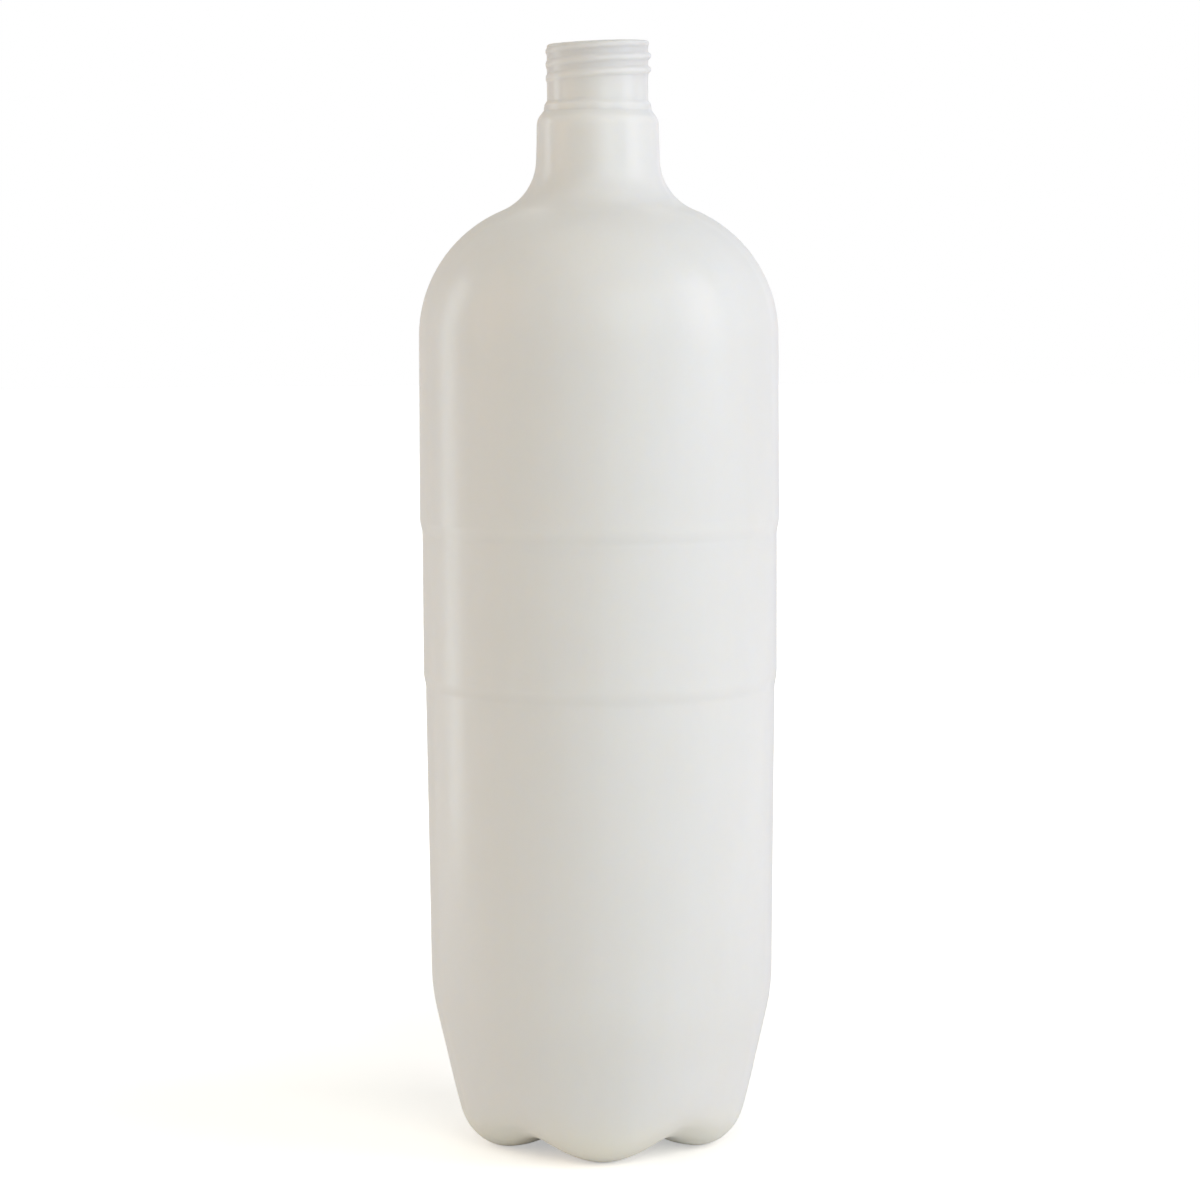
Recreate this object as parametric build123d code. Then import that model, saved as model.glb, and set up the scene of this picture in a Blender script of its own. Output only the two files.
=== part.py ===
from build123d import *
import os
from math import atan2, cos, radians, sin, sqrt, tan

# Water bottle of about two litres, blow-moulded in one piece: a threaded neck, a domed shoulder,
# two soft ring steps round the body and a base that stands on five feet.
# Millimetres. Z is up, the origin is on the floor under the centre, and one foot points to -Y.

height = 330.0              # floor to lip
body_radius = 53.6          # at the shoulder
wall = 2.0                  # thickness of the blown wall

# Body, from the top down: each band is a little slimmer than the one above
shoulder_radius = body_radius - 13.2        # arc of the dome
shoulder_height = height - 46.6 - shoulder_radius   # where the domed shoulder starts
upper_radius = body_radius + 0.3            # foot of the upper band, which spreads a little
upper_step_height = 0.5655 * height
middle_radius = body_radius - 0.45          # between the steps
lower_step_height = 0.4252 * height
lower_radius = body_radius - 1.1            # under the lower step
waist_radius = body_radius - 2.0            # where the body turns in to the base
step_height = 3.6                           # height over which a band steps in

# Neck
neck_radius = 15.0                          # plain land, which is also the root of the thread
neck_foot = height - 17.4                   # where the slope to the collar begins
ledge_radius = neck_radius + 1.15           # faint ledge on that slope
ledge_height = height - 18.7                # its upper face
collar_radius = 18.1                        # wider foot of the neck, at its top
collar_height = height - 23.5               # top of the collar
collar_round = 6.0                          # rounding of its top edge
collar_foot_radius = collar_radius + 0.3    # where it runs into the flare
flare_radius = 16.5                         # hollow between collar and shoulder
lip_round = 0.8

# Base
feet = 5
waist_height = 47.0
waist_blend = 60.0          # large rounding between body and base
base_taper = 12.9           # degrees that the base leans in
foot_corner = 13.6          # rounding of a foot's outer corner
foot_inner_radius = 0.543 * waist_radius     # where the underside leaves the floor
foot_flat = 0.2             # taken off under each foot, which leaves the flat that it stands on
push_up = 5.0               # height of the middle of the underside
hub_radius = 8.0            # flat in the middle of the underside
# Radius as a share of the waist's, height and slope (in radians) of points along a valley's bottom
valley_path = ((0.504, 5.5, 0.1), (0.698, 7.3, 0.5), (0.841, 13.8, 1.1))
valley_end = 31.0           # height at which a valley runs out into the side
foot_lobe = 0.7             # share of a valley's depth that the foot's own roundness reaches
valley_power = 8            # the crease takes the rest: higher is narrower
rows, columns = 29, 17      # stations along a profile and across a foot

skin_top = valley_end + 2.0
turned_start = valley_end + 4.0     # the base below is footed, the bottle above is turned
taper = radians(base_taper)


def inward(radius, level, lean, inset):
    """The point drawn in by the inset, square to a side that leans out from the vertical."""
    return (radius - inset * cos(lean), level + inset * sin(lean))


def on_taper(level, inset):
    """The point of the tapered side at a height on the outside, drawn in by the inset."""
    return inward(waist_radius - (waist_height - level) * tan(taper), level, taper, inset)


def base_profiles(inset):
    """The two profiles of the base, from the hub outwards: over a foot and along a valley."""
    floor = inset - foot_flat
    corner_height = foot_corner * (1 - sin(taper)) - foot_flat
    corner = on_taper(corner_height, 0)
    outer = (corner[0] - foot_corner * cos(taper), floor)
    corner = on_taper(corner_height, inset)
    hub = (hub_radius, push_up + inset)
    top = on_taper(skin_top, inset)
    foot = [
        Spline(hub, (foot_inner_radius, floor), tangents=[(1, 0), (1, 0)]),
        Line((foot_inner_radius, floor), outer),
        RadiusArc(outer, corner, inset - foot_corner),
        Line(corner, top),
    ]
    middle = [
        (share * waist_radius - inset * sin(slope), level + inset * cos(slope))
        for share, level, slope in valley_path
    ]
    run_out = on_taper(valley_end, inset)
    valley = [
        Spline(hub, *middle, run_out, tangents=[(1, 0), (sin(taper), cos(taper))]),
        Line(run_out, top),
    ]
    return Wire([e.edge() for e in foot]), Wire([e.edge() for e in valley])


def foot_face(inset):
    """The skin of one foot, valley to valley: every station is a blend of the two profiles."""
    foot, valley = base_profiles(inset)
    pitch = 360 / feet
    grid = []
    for j in range(columns):
        turn = pitch * (j / (columns - 1) - 0.5)
        across = abs(sin(radians(180 * turn / pitch)))
        share = foot_lobe * across ** 2 + (1 - foot_lobe) * across ** valley_power
        line = []
        for i in range(rows):
            over, along = foot @ (i / (rows - 1)), valley @ (i / (rows - 1))
            point = over + (along - over) * share
            line.append(Vector(point.X, 0, point.Y).rotate(Axis.Z, turn - 90))
        grid.append(line)
    return Face.make_surface_from_array_of_points(grid, tol=0.01, min_deg=3, max_deg=5)


def base_form(inset):
    """The footed base as a solid: five skins, a hub and a short ring that brings their rim to a true circle."""
    skin = foot_face(inset)
    skins = [Rot(0, 0, 360 / feet * i) * skin for i in range(feet)]
    ends = [e for face in skins for e in face.edges() if abs((e @ 0).Z - (e @ 1).Z) < 0.01]
    ends = ShapeList(ends).sort_by(Axis.Z)
    hub, rim = Wire(ends[:feet]), Wire(ends[feet:])
    radius, level = on_taper(turned_start, inset)
    pitch = 360 / feet
    arcs = [
        Edge.make_circle(radius, Plane.XY.offset(level), pitch * i - 90 - pitch / 2,
                         pitch * i - 90 + pitch / 2)
        for i in range(feet)
    ]
    ring = Solid.make_loft([rim, Wire(arcs)], ruled=True)
    return Solid(Shell([*skins, Face(hub), Face(rim)])) + ring


def upper_form(inset):
    """The turned form above the base: the body's bands, shoulder, collar and neck."""
    half = step_height / 2
    start = on_taper(turned_start, inset)
    waist = (waist_radius - inset, waist_height + inset * tan(taper / 2))
    lean = atan2(collar_radius - neck_radius, neck_foot - collar_height)
    drop = inset * tan(lean / 2)
    collar_top = (collar_radius - inset, collar_height - drop)
    dome = shoulder_radius - inset
    flare_foot = collar_foot_radius - inset
    dome_end = shoulder_height + sqrt(dome ** 2 - (flare_foot + shoulder_radius - body_radius) ** 2)
    with BuildSketch(Plane.XZ) as section:
        with BuildLine():
            Polyline(
                (0, start[1]),
                start,
                waist,
                (lower_radius - inset, lower_step_height - half),
                (middle_radius - inset, lower_step_height + half),
                (middle_radius - inset, upper_step_height - half),
                (upper_radius - inset, upper_step_height + half),
                (body_radius - inset, shoulder_height),
            )
            RadiusArc((body_radius - inset, shoulder_height), (flare_foot, dome_end), -dome)
            Polyline(
                (flare_foot, dome_end),
                collar_top,
                (neck_radius - inset, neck_foot - drop),
                (neck_radius - inset, height + inset),
                (0, height + inset),
                (0, start[1]),
            )
        make_face()
        corners = section.vertices()
        fillet(corners.sort_by_distance(waist)[0], waist_blend - inset)
        corners = section.vertices()
        fillet(corners.sort_by_distance((flare_foot, dome_end))[0], flare_radius + inset)
        corners = section.vertices()
        rounding = max(collar_round - inset, 0.2 * collar_round)
        fillet(corners.sort_by_distance(collar_top)[0], rounding)
    return revolve(section.sketch, Axis.Z)


def bottle_form(inset):
    """The whole closed form of the bottle, drawn in by the inset."""
    return upper_form(inset) + base_form(inset)


def neck_ledge():
    """The faint ledge on the slope above the collar, rounded at its rim."""
    depth = (ledge_height - collar_height) / 2
    ring = Pos(0, 0, ledge_height) * Cylinder(
        ledge_radius, depth, align=(Align.CENTER, Align.CENTER, Align.MAX)
    )
    return fillet(ring.edges().group_by(Axis.Z)[-1], 0.2)


def bottle():
    outside = bottle_form(0) + neck_ledge()
    below = Box(4 * body_radius, 4 * body_radius, 4, align=(Align.CENTER, Align.CENTER, Align.MAX))
    shell = outside - bottle_form(wall) - below
    lip = shell.edges().group_by(Axis.Z)[-1].sort_by(SortBy.RADIUS)
    shell = fillet(lip[-1], lip_round)
    lip = shell.edges().group_by(Axis.Z)[-1].sort_by(SortBy.RADIUS)
    return fillet(lip[0], lip_round / 2)


os.makedirs("parts", exist_ok=True)
export_step(bottle(), "parts/bottle.step")
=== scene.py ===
import math

import bmesh
import bpy
from mathutils import Matrix, Vector, noise
from mathutils.geometry import interpolate_bezier


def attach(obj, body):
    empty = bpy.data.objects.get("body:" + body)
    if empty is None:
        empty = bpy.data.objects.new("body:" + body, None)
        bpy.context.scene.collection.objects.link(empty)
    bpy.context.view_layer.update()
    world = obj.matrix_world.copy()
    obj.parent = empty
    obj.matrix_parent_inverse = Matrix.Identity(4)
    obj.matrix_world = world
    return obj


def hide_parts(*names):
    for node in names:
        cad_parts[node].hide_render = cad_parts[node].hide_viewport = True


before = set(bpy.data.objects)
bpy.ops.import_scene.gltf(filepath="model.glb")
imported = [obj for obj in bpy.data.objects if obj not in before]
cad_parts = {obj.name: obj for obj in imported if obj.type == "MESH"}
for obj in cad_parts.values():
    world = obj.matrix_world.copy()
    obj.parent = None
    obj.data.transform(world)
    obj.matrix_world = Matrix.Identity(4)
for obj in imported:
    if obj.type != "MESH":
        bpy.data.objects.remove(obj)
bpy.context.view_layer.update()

bl_info = {
    "name": "Moulded Water Bottle",
    "version": (1, 0, 0),
    "blender": (4, 5, 0),
    "location": "View3D > Sidebar > Bottle",
    "description": "A blow-moulded translucent water bottle with a threaded neck and a footed base",
    "category": "Object",
}

MM = 0.001
NODE = "bottle"

# Spacing of the outline's points, closer where the form bends more.
BASE_STEP = 0.3 * MM
SIDE_STEP = 3.2 * MM
WAIST_STEP = 2.0 * MM
DOME_STEP = 1.8 * MM
FLARE_STEP = 1.4 * MM
COLLAR_STEP = 2.0 * MM
ROUND_STEP = 0.5 * MM
SLOPE_STEP = 0.4 * MM
LEDGE_STEP = 0.25 * MM
LAND_STEP = 0.8 * MM
THREAD_STEP = 0.17 * MM
LIP_STEP = 0.2 * MM
BORE_STEP = 2.0 * MM
INNER_SIDE, INNER_TOP = 2.6, 1.8  # how many times wider the spacing is on the inside

# Points along curves that are drawn with handles or joined station by station.
OUTER_STATIONS, INNER_STATIONS = 64, 32
PUSH_UP_POINTS, VALLEY_POINTS = 60, 40
RING_POINTS, INNER_RING_POINTS = 24, 8

PUSH_UP_REACH = 1 / 2.6  # handle of the underside's curve, as a share of its width
ABOVE_VALLEYS = 2 * MM   # where the base meets the turned side
LINE_BELOW = 1.4 * MM    # the fine line lies this far under the middle of a ring step
LINE_SPREAD = 0.5 * MM * MM
RING_SPREAD = 0.8        # half a ring step's drawn height, as a share of its height
LEDGE_LEAN = 0.3 * MM    # how far the ledge's steep face stands out at its foot
NECK_FOOT_ROUND = 0.1 * MM
LAND_UNDER_THREAD = 2.2 * MM
BORE_ROUND = 0.4 * MM
LIP_BAND = 3 * MM        # height over which the lip's slanting cut fades out
THREAD_BAND = 3 * MM     # height under the thread's start that it may reach into
RIPPLE_TOP = 4 * MM      # the wall is even from this far under the collar's top
RIPPLE_START = 2 * MM
RIPPLE_FADE = 20 * MM
LIP_SLANT = 2.2          # width of the slanting cut, in neck radii
MERGE = 1e-7

# The bottom of a valley, outwards: share of the waist radius, height in mm, lean of the wall's
# thickness, lean of the curve.
VALLEY_KNOTS = ((0.504, 5.5, 0.1, 0.05), (0.698, 7.3, 0.5, 0.5), (0.841, 13.8, 1.1, 1.1))

# The wall's unevenness: how closely slow swells and finer flow lines follow each other along X, Y
# and Z, and what each adds.
SWELL, SWELL_SHARE = (22, 22, 14), 0.32
FLOW, FLOW_SHARE, FLOW_SHIFT = (60, 60, 9), 0.18, 7
RIPPLE_MEAN = 0.5

# Zones of the material's painted light, in metres above the floor: painted shade at the mouth,
# painted warm bounce light under the feet; and the angle at which the gloss fades.
MOUTH_SHADE_ZONE = (0.306, 0.331)
FOOT_BOUNCE_ZONE = (0.02, 0.002)
RIM_FADE = (0.45, 0.75)
SHEEN_SPREAD = 0.025

FLOOR_RADIUS = 6.0
FLOOR_DROP = 0.1 * MM
LIGHT_TARGET = (0, 0, 0.17)


# ---------------------------------------------------------------- properties

def length(name, description, millimetres):
    return bpy.props.FloatProperty(
        name=name, description=description, default=millimetres * MM, unit="LENGTH", precision=4
    )


def number(name, description, value):
    return bpy.props.FloatProperty(name=name, description=description, default=value)


def angle(name, description, degrees):
    return bpy.props.FloatProperty(
        name=name, description=description, default=math.radians(degrees), unit="ROTATION"
    )


def colour(name, description, value):
    return bpy.props.FloatVectorProperty(
        name=name, description=description, default=value, subtype="COLOR", size=3
    )


class BottleForm(bpy.types.PropertyGroup):
    """Sizes of the blown form."""

    height: length("Height", "Floor to lip", 330.0)
    wall: length("Wall", "Thickness of the blown wall", 2.0)
    body_radius: length("Body radius", "At the shoulder", 53.6)
    upper_radius: length("Upper radius", "Foot of the upper band", 53.87)
    upper_step: length("Upper step", "Height of the upper ring step", 186.6)
    middle_radius: length("Middle radius", "Between the ring steps", 53.15)
    lower_step: length("Lower step", "Height of the lower ring step", 140.3)
    lower_radius: length("Lower radius", "Under the lower ring step", 52.5)
    step_height: length("Step height", "Height over which a band steps in", 5.0)
    step_line: length("Step line", "Depth of the fine line under a step", 0.03)
    waist_radius: length("Waist radius", "Where the body turns in to the base", 51.6)
    waist_height: length("Waist height", "Where the body turns in to the base", 47.0)
    waist_blend: length("Waist blend", "Rounding between body and base", 60.0)
    shoulder_radius: length("Shoulder radius", "Arc of the domed shoulder", 40.4)
    shoulder_height: length("Shoulder height", "Where the shoulder starts", 243.0)
    flare: length("Flare", "Hollow between collar and shoulder", 16.5)
    collar_foot: length("Collar foot radius", "Where the collar runs into the flare", 18.4)
    collar_radius: length("Collar radius", "Wider foot of the neck, at its top", 18.1)
    collar_height: length("Collar height", "Top of the collar", 306.5)
    collar_round: length("Collar round", "Rounding of the collar's top", 6.0)
    ledge_radius: length("Ledge radius", "Faint ledge on the slope above the collar", 15.75)
    ledge_height: length("Ledge height", "Upper edge of the ledge", 311.5)
    ledge_width: length("Ledge width", "Height of the ledge's steep face", 1.9)
    neck_foot: length("Neck foot", "Where the slope to the collar begins", 312.6)
    neck_radius: length("Neck radius", "Plain land of the neck", 15.0)
    lip_round: length("Lip round", "Rounding of the lip", 0.8)
    lip_dip: length("Lip dip", "How much lower the lip is cut on its left", 0.9)
    taper: angle("Base taper", "Lean of the base", 12.9)
    foot_corner: length("Foot corner", "Rounding of a foot's outer corner", 13.6)
    foot_inner: length("Foot inner radius", "Where the underside leaves the floor", 28.0)
    foot_flat: length("Foot flat", "Taken off under each foot", 0.2)
    push_up: length("Push-up", "Height of the middle of the underside", 5.0)
    hub_radius: length("Hub radius", "Flat in the middle of the underside", 8.0)
    valley_end: length("Valley end", "Height at which the valleys run out", 31.0)
    feet: bpy.props.IntProperty(name="Feet", description="Feet of the base", default=5, min=3)
    foot_lobe: number(
        "Foot lobe", "Share of a valley's depth that a foot's roundness reaches", 0.7
    )
    valley_power: number("Valley power", "Narrowness of the crease between two feet", 8.0)
    around: bpy.props.IntProperty(
        name="Steps around", description="Stations round the bottle", default=200, min=40
    )


class BottleThread(bpy.types.PropertyGroup):
    """Sizes of the outside thread of the neck."""

    pitch: length("Pitch", "Rise per turn", 4.0)
    crest: length("Crest", "Height of the thread above the neck", 0.62)
    crest_width: length("Crest width", "Flat of the crest", 0.5)
    flank_width: length("Flank width", "Width of each flank", 1.2)
    start_height: length("Start height", "Where the thread begins", 319.0)
    tilt: length("Tilt", "How much higher the thread lies on its right", 0.25)
    lean: number("Lean", "How much bolder it is on its right", 0.4)
    start_angle: angle("Start angle", "Where the thread begins", 144)
    turns: number("Turns", "Length of the thread", 2.64)
    fade: number("Fade", "Turns over which it runs out", 0.12)


class BottleFinish(bpy.types.PropertyGroup):
    """Look of the natural polyethylene."""

    light_tone: colour("Light tone", "Clear areas", (0.835, 0.83, 0.815))
    warm_tone: colour("Warm tone", "Denser streaks", (0.815, 0.805, 0.78))
    # Painted shade: the colour at the open mouth is made darker and greyer.
    painted_mouth_shade: colour("Painted mouth shade", "Painted shade, darker and greyer, at the open mouth", (0.84, 0.85, 0.88))
    # Painted warm bounce light: the colour under the feet is tinted warmer.
    painted_foot_bounce: colour("Painted foot bounce", "Painted warm bounce light under the feet", (1.01, 1.0, 0.93))
    roughness: number("Roughness", "Skin of the mould", 0.245)
    gloss: number("Gloss", "Strength of the soft highlights", 0.2)
    scatter: length("Scatter", "Depth that light travels in the wall", 3.5)
    waviness: length("Waviness", "Unevenness of the blown wall", 0.12)


class BottleStudio(bpy.types.PropertyGroup):
    """Camera and light."""

    lens: number("Lens", "Focal length in millimetres", 107.1)
    distance: length("Distance", "Camera to the bottle's axis", 1066.9)
    eye: length("Eye height", "Camera above the floor", 268.95)
    pitch: angle("Pitch", "How far the camera looks down", 5.62)
    roll: angle("Roll", "Tilt of the camera", -0.27)
    key: number("Key", "Power of the light on the right", 10.3)
    fill: number("Fill", "Power of the front light", 8.3)
    glow: number("Glow", "Power of the warm light on the left", 4.3)
    top: number("Top", "Power of the light above", 2.45)
    back: number("Back", "Power of the light behind", 2.5)
    strip: number("Strip", "Power of the side strip", 0.8)
    ambient: number("Ambient", "Strength of the room light", 0.28)


# ---------------------------------------------------------------- outline

def line_to(path, end, step):
    """Adds evenly spaced points up to the end of a straight."""
    start = path[-1]
    count = max(1, round((end - start).length / step))
    path.extend(start.lerp(end, i / count) for i in range(1, count + 1))


def arc_to(path, centre, end, step):
    """Adds points along the shorter arc about the centre, from the path's last point to the end."""
    start = path[-1] - centre
    turn = start.angle_signed(end - centre)
    count = max(2, round(abs(turn) * start.length / step))
    for i in range(1, count + 1):
        path.append(centre + Matrix.Rotation(-turn * i / count, 2) @ start)


def curve_to(path, first, second, end, count):
    """Adds points along a curve with two handles."""
    line = interpolate_bezier(
        path[-1].to_3d(), first.to_3d(), second.to_3d(), end.to_3d(), count + 1
    )
    path.extend(point.to_2d() for point in line[1:])


def respaced(path, count):
    """The path as evenly spaced points."""
    lengths = [0.0]
    for a, b in zip(path, path[1:]):
        lengths.append(lengths[-1] + (b - a).length)
    out, i = [], 0
    for k in range(count + 1):
        target = lengths[-1] * k / count
        while i < len(path) - 2 and lengths[i + 1] < target:
            i += 1
        share = (target - lengths[i]) / max(lengths[i + 1] - lengths[i], 1e-12)
        out.append(path[i].lerp(path[i + 1], min(share, 1.0)))
    return out


def on_taper(form, level, inset):
    """The point of the tapered side at a height on the outside, drawn in by the inset."""
    radius = form.waist_radius - (form.waist_height - level) * math.tan(form.taper)
    return Vector((radius - inset * math.cos(form.taper), level + inset * math.sin(form.taper)))


def base_top(form, inset):
    """Where the base meets the turned side, just above the end of the valleys."""
    return on_taper(form, form.valley_end + ABOVE_VALLEYS, inset)


def foot_path(form, inset, hub):
    """Hub to tapered side over the middle of a foot."""
    floor = inset - form.foot_flat
    corner_level = form.foot_corner * (1 - math.sin(form.taper)) - form.foot_flat
    corner = on_taper(form, corner_level, 0)
    outer = Vector((corner.x - form.foot_corner * math.cos(form.taper), floor))
    centre = Vector((outer.x, form.foot_corner - form.foot_flat))
    inner = Vector((form.foot_inner, floor))
    reach = Vector(((inner.x - hub.x) * PUSH_UP_REACH, 0))
    path = [hub]
    curve_to(path, hub + reach, inner - reach, inner, PUSH_UP_POINTS)
    line_to(path, outer, BASE_STEP)
    arc_to(path, centre, on_taper(form, corner_level, inset), BASE_STEP)
    line_to(path, base_top(form, inset), BASE_STEP)
    return path


def valley_path(form, inset, hub):
    """Hub to tapered side along the bottom of a valley."""
    knots = [(hub, 0.0)]
    for share, level, slope, lean in VALLEY_KNOTS:
        knots.append((Vector((
            share * form.waist_radius - inset * math.sin(slope),
            level * MM + inset * math.cos(slope),
        )), lean))
    knots.append((on_taper(form, form.valley_end, inset), math.pi / 2 - form.taper))
    path = [hub]
    for (start, leaving), (end, arriving) in zip(knots, knots[1:]):
        reach = (end - start).length / 3
        first = start + reach * Vector((math.cos(leaving), math.sin(leaving)))
        second = end - reach * Vector((math.cos(arriving), math.sin(arriving)))
        curve_to(path, first, second, end, VALLEY_POINTS)
    line_to(path, base_top(form, inset), BASE_STEP)
    return path


def base_paths(form, inset, count):
    """Hub to tapered side, over a foot and along a valley, in matching stations."""
    hub = Vector((form.hub_radius, form.push_up + inset))
    return (
        respaced(foot_path(form, inset, hub), count),
        respaced(valley_path(form, inset, hub), count),
    )


def path_step(step, inset, wider):
    """A spacing as it is outside, or wider inside."""
    return step * wider if inset else step


def ring_step(form, path, inset, level, below, above):
    """Adds a soft step from one band to the next, on the outside with a fine line under it."""
    half = RING_SPREAD * form.step_height
    count = INNER_RING_POINTS if inset else RING_POINTS
    line_to(path, Vector((below - inset, level - half)), path_step(SIDE_STEP, inset, INNER_SIDE))
    for i in range(1, count + 1):
        offset = -half + 2 * half * i / count
        radius = below + (above - below) * smooth(offset / form.step_height + 0.5)
        if not inset:
            radius -= form.step_line * math.exp(-((offset + LINE_BELOW) ** 2) / LINE_SPREAD)
        path.append(Vector((radius - inset, level + offset)))


def waist_to_shoulder(form, path, inset):
    """Adds the side from the tapered base up to the start of the shoulder."""
    side_step = path_step(SIDE_STEP, inset, INNER_SIDE)
    rise = form.lower_step - form.waist_height
    upright = math.atan2(form.lower_radius - form.waist_radius, rise)
    tangent = form.waist_blend * math.tan((form.taper - upright) / 2)
    high = Vector((
        form.waist_radius + tangent * math.sin(upright) - inset,
        form.waist_height + tangent * math.cos(upright),
    ))
    low = on_taper(form, form.waist_height - tangent * math.cos(form.taper), inset)
    centre = Vector((high.x - (form.waist_blend - inset), high.y))
    line_to(path, low, side_step)
    arc_to(path, centre, high, path_step(WAIST_STEP, inset, INNER_SIDE))
    ring_step(form, path, inset, form.lower_step, form.lower_radius, form.middle_radius)
    ring_step(form, path, inset, form.upper_step, form.middle_radius, form.upper_radius)
    line_to(path, Vector((form.body_radius - inset, form.shoulder_height)), side_step)


def collar_drop(form, inset):
    """How far the collar's top corner comes down when it is drawn in, and how the slope leans."""
    lean = math.atan2(
        form.collar_radius - form.neck_radius, form.neck_foot - form.collar_height
    )
    return inset * math.tan(lean / 2), lean


def shoulder_to_collar(form, path, inset):
    """Adds the dome, the flare, the collar's side and the rounding that turns it in."""
    dome = Vector((form.body_radius - form.shoulder_radius, form.shoulder_height))
    sideways = form.collar_foot + form.flare - dome.x
    reach = form.shoulder_radius + form.flare
    flare = Vector((
        form.collar_foot + form.flare, dome.y + math.sqrt(reach ** 2 - sideways ** 2)
    ))
    meet = dome + (flare - dome) * (form.shoulder_radius - inset) / reach
    arc_to(path, dome, meet, path_step(DOME_STEP, inset, INNER_TOP))
    flare_end = Vector((form.collar_foot - inset, flare.y))
    arc_to(path, flare, flare_end, path_step(FLARE_STEP, inset, INNER_TOP))

    drop, lean = collar_drop(form, inset)
    corner = Vector((form.collar_radius - inset, form.collar_height - drop))
    reach = (form.collar_round - inset) * math.tan(lean / 2)
    line_to(path, corner - Vector((0, reach)), path_step(COLLAR_STEP, inset, INNER_TOP))
    centre = path[-1] - Vector((form.collar_round - inset, 0))
    turned_in = corner + reach * Vector((-math.sin(lean), math.cos(lean)))
    arc_to(path, centre, turned_in, path_step(ROUND_STEP, inset, INNER_TOP))


def outer_path(form, thread):
    """The outside from the tapered base to the lip."""
    path = [base_top(form, 0)]
    waist_to_shoulder(form, path, 0)
    shoulder_to_collar(form, path, 0)
    neck, top = form.neck_radius, form.height - form.lip_round
    for radius, level, step in (
        (form.ledge_radius + LEDGE_LEAN, form.ledge_height - form.ledge_width, SLOPE_STEP),
        (form.ledge_radius, form.ledge_height, LEDGE_STEP),
        (neck + NECK_FOOT_ROUND, form.neck_foot - 2 * NECK_FOOT_ROUND, SLOPE_STEP),
        (neck, form.neck_foot + NECK_FOOT_ROUND, SLOPE_STEP),
        (neck, thread.start_height - LAND_UNDER_THREAD, LAND_STEP),
        (neck, top, THREAD_STEP),
    ):
        line_to(path, Vector((radius, level)), step)
    centre = Vector((neck - form.lip_round, top))
    arc_to(path, centre, Vector((centre.x, form.height)), LIP_STEP)
    return path


def inner_path(form):
    """The inside from the tapered base to the lip."""
    path = [base_top(form, form.wall)]
    waist_to_shoulder(form, path, form.wall)
    shoulder_to_collar(form, path, form.wall)
    drop, _ = collar_drop(form, form.wall)
    bore = form.neck_radius - form.wall
    centre = Vector((bore + BORE_ROUND, form.height - BORE_ROUND))
    line_to(path, Vector((bore, form.neck_foot - drop)), BORE_STEP / 2)
    line_to(path, Vector((bore, centre.y)), BORE_STEP)
    arc_to(path, centre, Vector((centre.x, form.height)), LIP_STEP)
    return path


# ---------------------------------------------------------------- relief

def smooth(value):
    """0 below 0, 1 above 1, and a soft rise between them."""
    value = min(max(value, 0.0), 1.0)
    return value * value * (3 - 2 * value)


def valley_share(form, turned):
    """0 over the middle of a foot, 1 in the bottom of a valley. One foot points to -Y."""
    across = abs(math.sin(form.feet * (turned + math.pi / 2) / 2))
    return form.foot_lobe * across ** 2 + (1 - form.foot_lobe) * across ** form.valley_power


def thread_lift(thread, turned, level):
    """Height of the thread's ridge above the neck at an angle and a height."""
    turn = ((turned - thread.start_angle) / math.tau) % 1.0
    lift = 0.0
    while turn <= thread.turns:
        middle = thread.start_height + thread.pitch * turn + thread.tilt * math.cos(turned)
        off = abs(level - middle)
        ends = smooth(min(turn, thread.turns - turn) / thread.fade)
        ridge = smooth((thread.crest_width / 2 + thread.flank_width - off) / thread.flank_width)
        lift = max(lift, thread.crest * (1 + thread.lean * math.cos(turned)) * ridge * ends)
        turn += 1.0
    return lift


def wall_ripple(finish, point, level_share):
    """How far the blown wall sinks in from its nominal form."""
    swell = noise.noise(point * Vector(SWELL))
    flow = noise.noise(point * Vector(FLOW) + Vector((FLOW_SHIFT, 0, 0)))
    return finish.waviness * level_share * (RIPPLE_MEAN + SWELL_SHARE * swell + FLOW_SHARE * flow)


def sink(vert, amount):
    """Moves a point towards the axis."""
    flat = Vector((vert.co.x, vert.co.y, 0))
    if flat.length > 0:
        vert.co -= flat.normalized() * amount


def spun(outline, steps):
    """The outline turned once about Z; a vertex layer keeps each point's place in the outline."""
    bm = bmesh.new()
    ring = bm.verts.layers.int.new("ring")
    chain = []
    for index, point in enumerate(outline):
        vert = bm.verts.new((point.x, 0, point.y))
        vert[ring] = index
        chain.append(vert)
    edges = [bm.edges.new(pair) for pair in zip(chain, chain[1:])]
    bmesh.ops.spin(
        bm, geom=chain + edges, cent=(0, 0, 0), axis=(0, 0, 1), angle=math.tau, steps=steps,
        use_merge=True,
    )
    bmesh.ops.remove_doubles(bm, verts=bm.verts, dist=MERGE)
    return bm, ring


def outside_relief(form, thread, finish, vert, turned):
    """Raises the thread, or lets the blown wall sink in a little."""
    if vert.co.z > thread.start_height - THREAD_BAND:
        sink(vert, -thread_lift(thread, turned, vert.co.z))
    elif vert.co.z < form.collar_height - RIPPLE_TOP:
        share = smooth((vert.co.z - RIPPLE_START) / RIPPLE_FADE)
        sink(vert, wall_ripple(finish, vert.co, share))
    vert.co.z = max(vert.co.z, 0.0)


def slant_lip(form, vert):
    """Lowers the lip towards its left."""
    near = smooth((vert.co.z - form.height + LIP_BAND) / LIP_BAND)
    across = smooth(0.5 - vert.co.x / (LIP_SLANT * form.neck_radius))
    vert.co.z -= form.lip_dip * near * across


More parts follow.
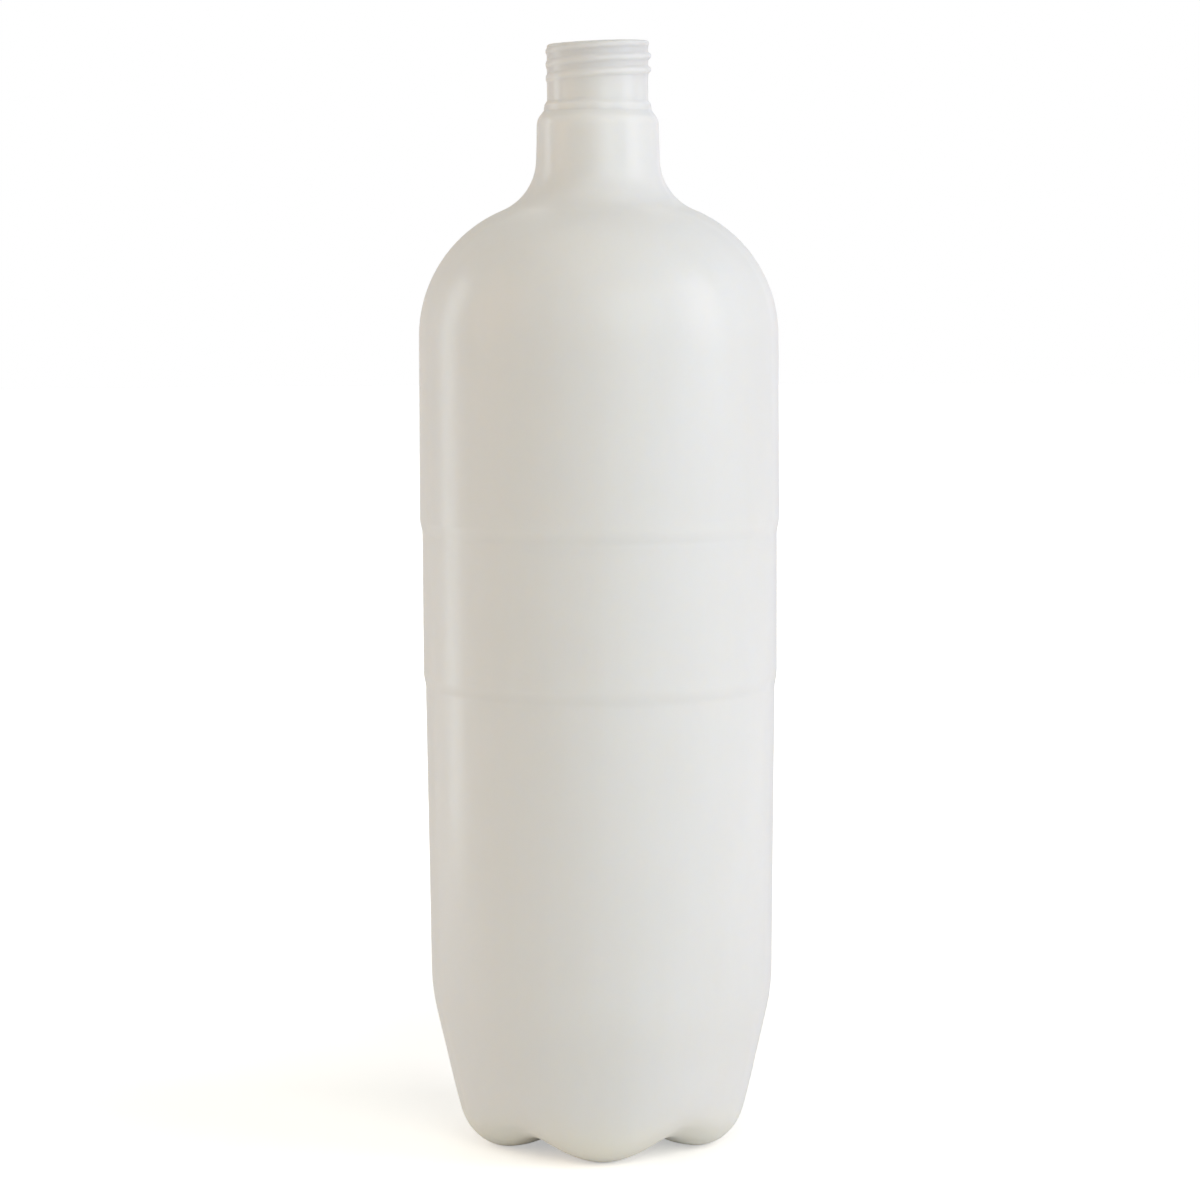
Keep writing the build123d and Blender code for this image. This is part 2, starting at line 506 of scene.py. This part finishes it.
def shape_shell(context):
    """The whole wall: outside, lip and inside, spun from one outline, then given its relief."""
    form = context.scene.bottle_form
    thread = context.scene.bottle_thread
    finish = context.scene.bottle_finish
    outer_foot, outer_valley = base_paths(form, 0, OUTER_STATIONS)
    inner_foot, inner_valley = base_paths(form, form.wall, INNER_STATIONS)
    underside, inside_floor = form.push_up, form.push_up + form.wall
    outline = [
        Vector((0, underside)), Vector((form.hub_radius / 2, underside)),
        *outer_foot, *outer_path(form, thread)[1:],
    ]
    outer_count = len(outline)
    outline += [
        *reversed(inner_path(form)[1:]), *reversed(inner_foot),
        Vector((form.hub_radius / 2, inside_floor)), Vector((0, inside_floor)),
    ]
    first, last = 2, len(outline) - 3  # the hub's rim, outside and inside

    bm, ring = spun(outline, form.around)
    for vert in bm.verts:
        index = vert[ring]
        turned = math.atan2(vert.co.y, vert.co.x)
        pair = None
        if first <= index <= first + OUTER_STATIONS:
            pair = outer_foot[index - first], outer_valley[index - first]
        elif last - INNER_STATIONS <= index <= last:
            pair = inner_foot[last - index], inner_valley[last - index]
        if pair:
            point = pair[0].lerp(pair[1], valley_share(form, turned))
            vert.co = Vector((point.x * math.cos(turned), point.x * math.sin(turned), point.y))
        if index < outer_count:
            outside_relief(form, thread, finish, vert, turned)
        if vert.co.z > form.height - LIP_BAND:
            slant_lip(form, vert)

    bmesh.ops.recalc_face_normals(bm, faces=bm.faces)
    for face in bm.faces:
        face.smooth = True
    return bm


# ---------------------------------------------------------------- materials

def node(tree, kind, place, **settings):
    """A new node at a place in the tree, with its settings."""
    made = tree.nodes.new(kind)
    made.location = place
    for key, value in settings.items():
        setattr(made, key, value)
    return made


def put(made, **values):
    """Sets a node's inputs by name; an underscore stands for a space."""
    for key, value in values.items():
        made.inputs[key.replace("_", " ")].default_value = value
    return made


def new_tree(name):
    """A material and its empty node tree."""
    material = bpy.data.materials.new(name)
    material.use_nodes = True
    material.node_tree.nodes.clear()
    return material, material.node_tree


def noise_of(tree, vector, place, **values):
    """A noise texture on a vector output."""
    made = put(node(tree, "ShaderNodeTexNoise", place), **values)
    tree.links.new(vector, made.inputs["Vector"])
    return made.outputs["Fac"]


def mapped(tree, value, place, start, end, low=0.0, high=1.0, kind="SMOOTHSTEP"):
    """A value carried from the range between start and end to the one between low and high."""
    made = node(tree, "ShaderNodeMapRange", place, interpolation_type=kind)
    put(made, From_Min=start, From_Max=end, To_Min=low, To_Max=high)
    tree.links.new(value, made.inputs["Value"])
    return made.outputs["Result"]


def blended(tree, share, first, second, place, kind="MIX"):
    """Two colours mixed by a share; each is an output or a plain colour."""
    made = node(tree, "ShaderNodeMix", place, data_type="RGBA", blend_type=kind)
    tree.links.new(share, made.inputs["Factor"])
    for name, tone in (("A", first), ("B", second)):
        if isinstance(tone, bpy.types.NodeSocket):
            tree.links.new(tone, made.inputs[name])
        else:
            made.inputs[name].default_value = (*tone, 1)
    return made.outputs["Result"]


def seen_rays(tree, place):
    """One for the rays that show the background: camera, mirror and see-through rays."""
    rays = node(tree, "ShaderNodeLightPath", place)
    either = node(tree, "ShaderNodeMath", (place[0] + 200, place[1]), operation="MAXIMUM")
    tree.links.new(rays.outputs["Is Camera Ray"], either.inputs[0])
    tree.links.new(rays.outputs["Is Glossy Ray"], either.inputs[1])
    any_of = node(tree, "ShaderNodeMath", (place[0] + 400, place[1]), operation="MAXIMUM")
    tree.links.new(either.outputs["Value"], any_of.inputs[0])
    tree.links.new(rays.outputs["Is Transmission Ray"], any_of.inputs[1])
    return any_of.outputs["Value"]


def polyethylene(finish):
    """Natural polyethylene: milky, faintly streaked along the blow, with the mould's fine grain."""
    material, tree = new_tree("Natural polyethylene")
    link = tree.links.new
    out = node(tree, "ShaderNodeOutputMaterial", (900, 0))
    shader = node(tree, "ShaderNodeBsdfPrincipled", (600, 0))
    put(
        shader, Subsurface_Weight=1.0, Subsurface_Radius=(1.0, 0.92, 0.8),
        Subsurface_Scale=finish.scatter, Subsurface_Anisotropy=0.0, IOR=1.5,
    )
    shader.subsurface_method = "RANDOM_WALK"
    link(shader.outputs["BSDF"], out.inputs["Surface"])

    # Streaks along the blow; painted shade makes the mouth darker and greyer, and painted warm
    # bounce light makes the wall under the feet warmer.
    place = node(tree, "ShaderNodeTexCoord", (-1300, 0)).outputs["Object"]
    stretch = put(node(tree, "ShaderNodeMapping", (-1100, 150)), Scale=(38, 38, 7))
    link(place, stretch.inputs["Vector"])
    streaks = noise_of(
        tree, stretch.outputs["Vector"], (-900, 150), Scale=1.0, Detail=5.0, Roughness=0.6
    )
    spread = mapped(tree, streaks, (-600, 150), 0.3, 0.75, kind="LINEAR")
    tone = blended(tree, spread, finish.light_tone, finish.warm_tone, (-300, 150))
    parts = node(tree, "ShaderNodeSeparateXYZ", (-900, 400))
    link(place, parts.inputs["Vector"])
    # Painted shade at the mouth: the colour there is multiplied darker and greyer.
    mouth = mapped(tree, parts.outputs["Z"], (-600, 400), *MOUTH_SHADE_ZONE)
    tone = blended(tree, mouth, tone, finish.painted_mouth_shade, (0, 150), "MULTIPLY")
    # Painted warm bounce light under the feet: the colour near the floor is multiplied warmer.
    feet = mapped(tree, parts.outputs["Z"], (-600, 700), *FOOT_BOUNCE_ZONE)
    tone = blended(tree, feet, tone, finish.painted_foot_bounce, (250, 150), "MULTIPLY")
    link(tone, shader.inputs["Base Color"])

    patches = noise_of(tree, place, (-900, -150), Scale=45.0, Detail=4.0)
    sheen = mapped(
        tree, patches, (-600, -150), 0.3, 0.7, finish.roughness - SHEEN_SPREAD,
        finish.roughness + SHEEN_SPREAD, kind="LINEAR",
    )
    link(sheen, shader.inputs["Roughness"])

    # The highlights fade out towards the rim.
    facing = put(node(tree, "ShaderNodeLayerWeight", (-900, 950)), Blend=0.5)
    rim = mapped(
        tree, facing.outputs["Facing"], (-600, 950), *RIM_FADE, low=finish.gloss, high=0.0
    )
    link(rim, shader.inputs["Specular IOR Level"])

    grain = noise_of(tree, place, (-900, -450), Scale=2600.0, Detail=3.0, Roughness=0.6)
    orange = noise_of(tree, place, (-900, -700), Scale=140.0, Detail=3.0)
    fine = put(node(tree, "ShaderNodeBump", (-200, -450)), Strength=0.12, Distance=0.03 * MM)
    link(grain, fine.inputs["Height"])
    coarse = put(node(tree, "ShaderNodeBump", (100, -550)), Strength=0.25, Distance=0.12 * MM)
    link(orange, coarse.inputs["Height"])
    link(fine.outputs["Normal"], coarse.inputs["Normal"])
    link(coarse.outputs["Normal"], shader.inputs["Normal"])
    return material


def floor_paint():
    """White paper lit to the background's white; it keeps the shadow and is clear from below."""
    material, tree = new_tree("Studio paper")
    link = tree.links.new
    out = node(tree, "ShaderNodeOutputMaterial", (750, 0))
    shader = node(tree, "ShaderNodeBsdfPrincipled", (300, 0))
    put(shader, Roughness=0.9, Specular_IOR_Level=0.1, Emission_Color=(1, 1, 1, 1))
    place = node(tree, "ShaderNodeTexCoord", (-600, 0)).outputs["Object"]
    fibres = noise_of(tree, place, (-400, 0), Scale=30.0, Detail=3.0)
    tone = blended(tree, fibres, (0.91, 0.89, 0.85), (0.93, 0.91, 0.87), (0, 0))
    link(tone, shader.inputs["Base Color"])

    # It shines less under the bottle, so that the shadow shows.
    away = node(tree, "ShaderNodeVectorMath", (-400, -450), operation="LENGTH")
    link(place, away.inputs["Vector"])
    spread = mapped(tree, away.outputs["Value"], (-200, -450), 0.1, 0.6, low=0.42)
    lift = node(tree, "ShaderNodeMath", (50, -300), operation="MULTIPLY")
    link(seen_rays(tree, (-700, -300)), lift.inputs[0])
    link(spread, lift.inputs[1])
    link(lift.outputs["Value"], shader.inputs["Emission Strength"])

    sides = node(tree, "ShaderNodeNewGeometry", (50, 250))
    clear = node(tree, "ShaderNodeBsdfTransparent", (300, 150))
    choose = node(tree, "ShaderNodeMixShader", (550, 100))
    link(sides.outputs["Backfacing"], choose.inputs["Fac"])
    link(shader.outputs["BSDF"], choose.inputs[1])
    link(clear.outputs["BSDF"], choose.inputs[2])
    link(choose.outputs["Shader"], out.inputs["Surface"])
    return material


# ---------------------------------------------------------------- operators

def mesh_object(context, bm, name, material):
    """Turns a bmesh into an object of the scene with its material."""
    mesh = bpy.data.meshes.new(name)
    bm.to_mesh(mesh)
    bm.free()
    made = bpy.data.objects.new(name, mesh)
    context.scene.collection.objects.link(made)
    mesh.materials.append(material)
    return made


class BOTTLE_OT_shell(bpy.types.Operator):
    """Make the blown bottle with its thread, ledge, ring steps and feet"""

    bl_idname = "bottle.shell"
    bl_label = "Make Bottle"

    def execute(self, context):
        bm = shape_shell(context)
        loose = [edge for edge in bm.edges if not edge.is_manifold]
        if loose:
            bm.free()
            raise RuntimeError(f"the bottle's wall has {len(loose)} open edges")
        material = polyethylene(context.scene.bottle_finish)
        piece = mesh_object(context, bm, "Bottle_shell", material)
        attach(piece, "root")
        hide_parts(NODE)
        return {"FINISHED"}


def area_light(context, name, place, target, size, power, tint):
    """A soft light at a place, turned to its target."""
    data = bpy.data.lights.new(name, "AREA")
    data.shape = "RECTANGLE"
    data.size, data.size_y = size
    data.energy = power
    data.color = tint
    light = bpy.data.objects.new(name, data)
    context.scene.collection.objects.link(light)
    turned = (target - place).to_track_quat("-Z", "Y").to_matrix().to_4x4()
    light.matrix_world = Matrix.Translation(place) @ turned


def set_camera(context, studio):
    """The camera in front of the bottle, looking slightly down."""
    data = bpy.data.cameras.new("Camera")
    data.lens = studio.lens
    data.sensor_width = 36.0
    data.clip_start = 0.05
    camera = bpy.data.objects.new("Camera", data)
    context.scene.collection.objects.link(camera)
    camera.matrix_world = (
        Matrix.Translation((0, -studio.distance, studio.eye))
        @ Matrix.Rotation(math.pi / 2 - studio.pitch, 4, "X")
        @ Matrix.Rotation(studio.roll, 4, "Z")
    )
    context.scene.camera = camera
    context.scene.view_settings.view_transform = "Standard"


def set_room(context, studio):
    """A pale room light, seen as plain white."""
    world = bpy.data.worlds.new("Room")
    context.scene.world = world
    world.use_nodes = True
    tree = world.node_tree
    tree.nodes.clear()
    link = tree.links.new
    room = node(tree, "ShaderNodeBackground", (-200, 0))
    put(room, Color=(0.87, 0.94, 1.0, 1), Strength=studio.ambient)
    white = node(tree, "ShaderNodeBackground", (-200, -150))
    put(white, Color=(1, 1, 1, 1), Strength=1.0)
    choose = node(tree, "ShaderNodeMixShader", (0, 0))
    out = node(tree, "ShaderNodeOutputWorld", (200, 0))
    link(seen_rays(tree, (-700, 200)), choose.inputs["Fac"])
    link(room.outputs["Background"], choose.inputs[1])
    link(white.outputs["Background"], choose.inputs[2])
    link(choose.outputs["Shader"], out.inputs["Surface"])


def set_lights(context, studio):
    """Soft lights round the bottle, each by its turn and lift in degrees and its distance."""
    soft = (0.8, 1.2)
    target = Vector(LIGHT_TARGET)
    for name, turn, lift, reach, size, power, tint in (
        ("Key", 70, 22, 1.6, soft, studio.key, (0.94, 0.91, 1.0)),
        ("Fill", 20, 22, 1.6, soft, studio.fill, (0.96, 1.0, 0.95)),
        ("Glow", -70, 22, 1.6, soft, studio.glow, (1.0, 0.56, 0.2)),
        ("Top", 0, 80, 1.6, (1.2, 1.2), studio.top, (1.0, 0.91, 0.52)),
        ("Back", 180, 25, 1.6, soft, studio.back, (1.0, 0.98, 0.94)),
        ("Strip", -106.5, 8, 0.55, (0.17, 0.55), studio.strip, (0.8, 0.92, 1.0)),
    ):
        turn, lift = math.radians(turn), math.radians(lift)
        away = Vector((
            math.cos(lift) * math.sin(turn), -math.cos(lift) * math.cos(turn), math.sin(lift)
        ))
        area_light(context, name, target + reach * away, target, size, power, tint)


class BOTTLE_OT_studio(bpy.types.Operator):
    """Set up the camera, the light and the white floor"""

    bl_idname = "bottle.studio"
    bl_label = "Make Studio"

    def execute(self, context):
        studio = context.scene.bottle_studio
        set_camera(context, studio)
        set_room(context, studio)
        set_lights(context, studio)
        bm = bmesh.new()
        bmesh.ops.create_circle(
            bm, cap_ends=True, segments=96, radius=FLOOR_RADIUS,
            matrix=Matrix.Translation((0, 0, -FLOOR_DROP)),
        )
        mesh_object(context, bm, "Floor", floor_paint())
        return {"FINISHED"}


class BOTTLE_PT_panel(bpy.types.Panel):
    """Sizes, finish and buttons for the bottle"""

    bl_idname = "BOTTLE_PT_panel"
    bl_label = "Moulded Water Bottle"
    bl_space_type = "VIEW_3D"
    bl_region_type = "UI"
    bl_category = "Bottle"

    def draw(self, context):
        layout = self.layout
        for title, group in (
            ("Form", context.scene.bottle_form),
            ("Thread", context.scene.bottle_thread),
            ("Finish", context.scene.bottle_finish),
            ("Studio", context.scene.bottle_studio),
        ):
            box = layout.box()
            box.label(text=title)
            for name in group.__class__.__annotations__:
                box.prop(group, name)
        layout.operator(BOTTLE_OT_shell.bl_idname)
        layout.operator(BOTTLE_OT_studio.bl_idname)


GROUPS = {
    "bottle_form": BottleForm,
    "bottle_thread": BottleThread,
    "bottle_finish": BottleFinish,
    "bottle_studio": BottleStudio,
}
CLASSES = (*GROUPS.values(), BOTTLE_OT_shell, BOTTLE_OT_studio, BOTTLE_PT_panel)


def register():
    """Adds the classes and hangs the groups of values on the scene."""
    for made in CLASSES:
        bpy.utils.register_class(made)
    for name, group in GROUPS.items():
        setattr(bpy.types.Scene, name, bpy.props.PointerProperty(type=group))


def unregister():
    """Takes them off again."""
    for name in GROUPS:
        delattr(bpy.types.Scene, name)
    for made in reversed(CLASSES):
        bpy.utils.unregister_class(made)


def main():
    """Makes the bottle and the studio."""
    register()
    bpy.ops.bottle.shell()
    bpy.ops.bottle.studio()


if __name__ == "__main__":
    main()
